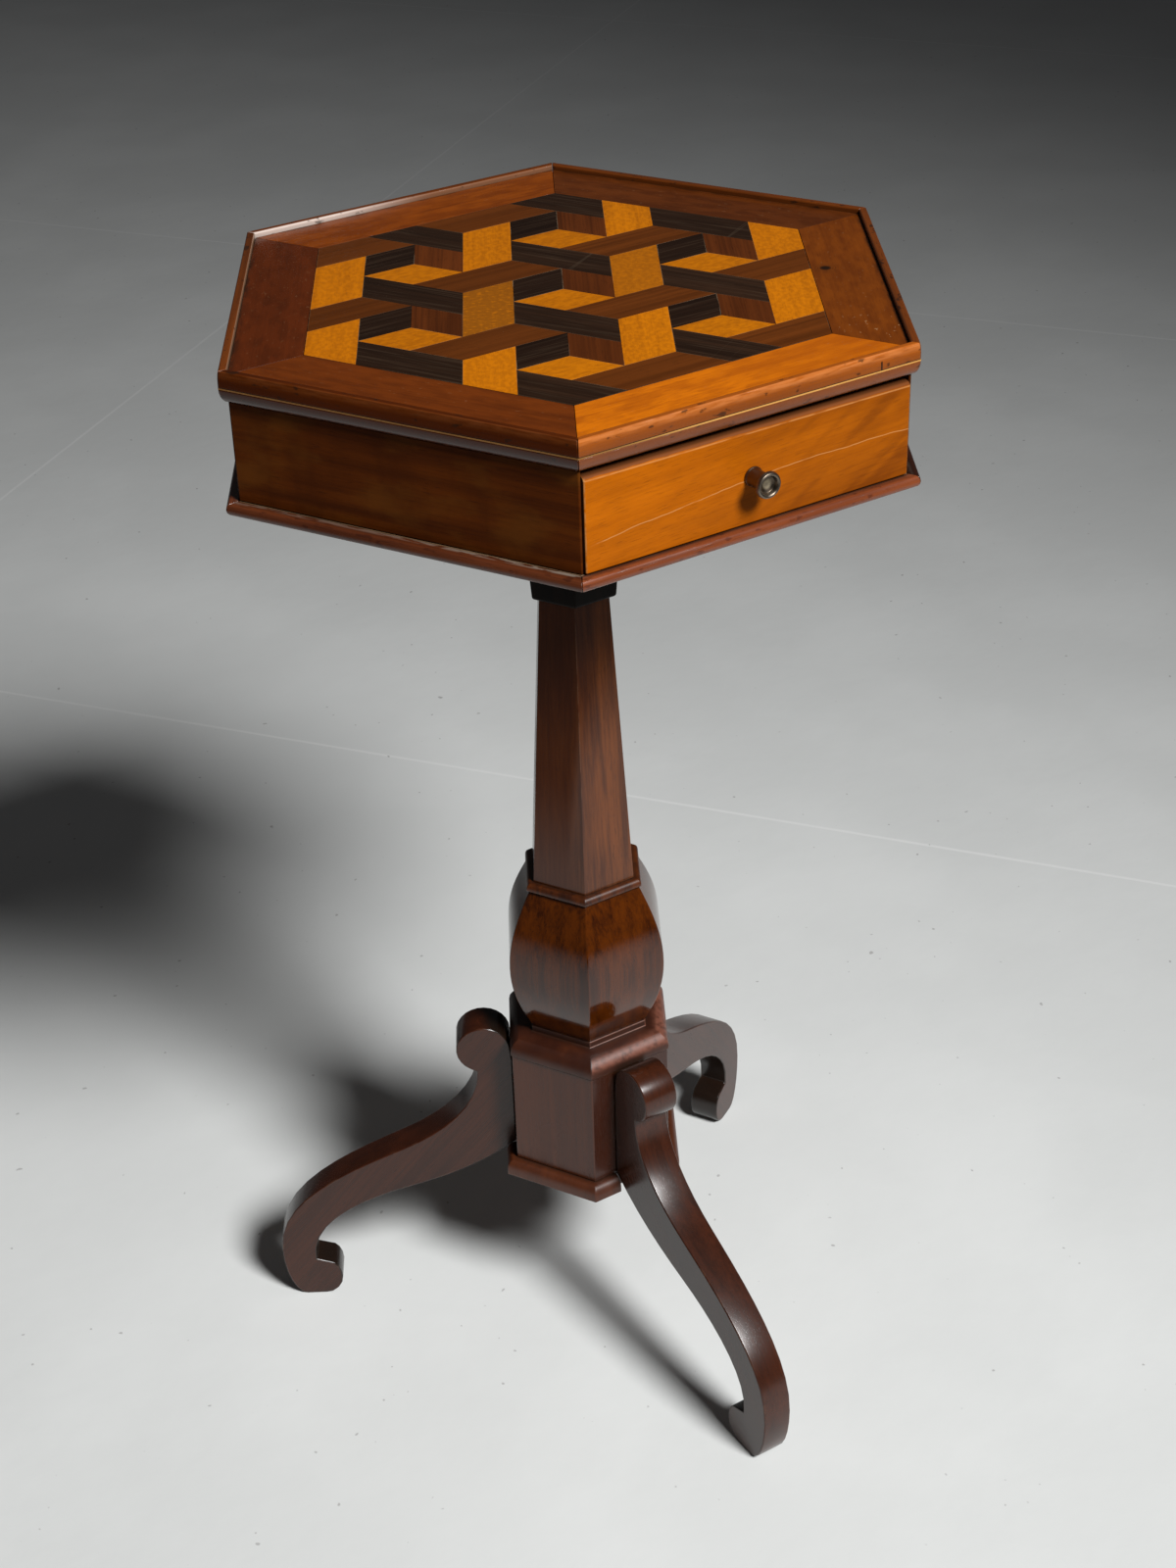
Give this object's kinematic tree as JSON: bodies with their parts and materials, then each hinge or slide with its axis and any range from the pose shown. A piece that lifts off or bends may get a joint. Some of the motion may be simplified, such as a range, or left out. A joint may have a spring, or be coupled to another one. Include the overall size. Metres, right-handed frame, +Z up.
{
  "type": "hexagonal occasional table",
  "caption": "Hexagonal antique occasional table with a parquetry top, a frieze drawer with a brass knob, a faceted column and scroll legs.",
  "frame": {"origin": "on the floor, at the middle of the bounding box", "axes": "+Z up, -Y out of the drawer's face, +X to the drawer's right as it is faced"},
  "size_m": [0.423, 0.3972, 0.7206],
  "materials": {
    "mahogany": "french polished, worn",
    "dark_mahogany": "dark stained, satin",
    "figured_mahogany": "figured, french polished",
    "parquetry": "inlaid veneers, french polished",
    "boxwood": "polished",
    "pine": "unpolished, aged",
    "brass": "aged"
  },
  "bodies": {
    "table": {"base_moulding_back": "mahogany", "base_moulding_back_left": "mahogany", "base_moulding_back_right": "mahogany", "base_moulding_front": "mahogany", "base_moulding_front_left": "mahogany", "base_moulding_front_right": "mahogany", "bearer_plate": "dark_mahogany", "border_band_back": "figured_mahogany", "border_band_back_left": "figured_mahogany", "border_band_back_right": "figured_mahogany", "border_band_front": "figured_mahogany", "border_band_front_left": "figured_mahogany", "border_band_front_right": "figured_mahogany", "bulb": "mahogany", "capital": "dark_mahogany", "case_bottom": "pine", "collar": "mahogany", "drawer_guide_left": "pine", "drawer_guide_right": "pine", "drawer_kicker_left": "pine", "drawer_kicker_right": "pine", "frieze_back": "mahogany", "frieze_back_left": "mahogany", "frieze_back_right": "mahogany", "frieze_front_left": "mahogany", "frieze_front_right": "mahogany", "leg_front": "mahogany", "leg_left": "mahogany", "leg_right": "mahogany", "parquetry_panel": "parquetry", "plinth_base": "mahogany", "plinth_block": "mahogany", "plinth_cap": "mahogany", "rim_moulding_back": "mahogany", "rim_moulding_back_left": "mahogany", "rim_moulding_back_right": "mahogany", "rim_moulding_front": "mahogany", "rim_moulding_front_left": "mahogany", "rim_moulding_front_right": "mahogany", "shaft": "mahogany", "stringing": "boxwood", "top_board": "pine"},
    "drawer": {"drawer_front": "figured_mahogany", "drawer_side_left": "pine", "drawer_side_right": "pine", "drawer_back": "pine", "drawer_bottom": "pine", "drawer_knob": "brass"}
  },
  "joints": [
    {"name": "drawer_slide", "type": "slide", "parent": "table", "child": "drawer", "axis": [0, -1, 0], "range_m": [0, 0.2]}
  ]
}
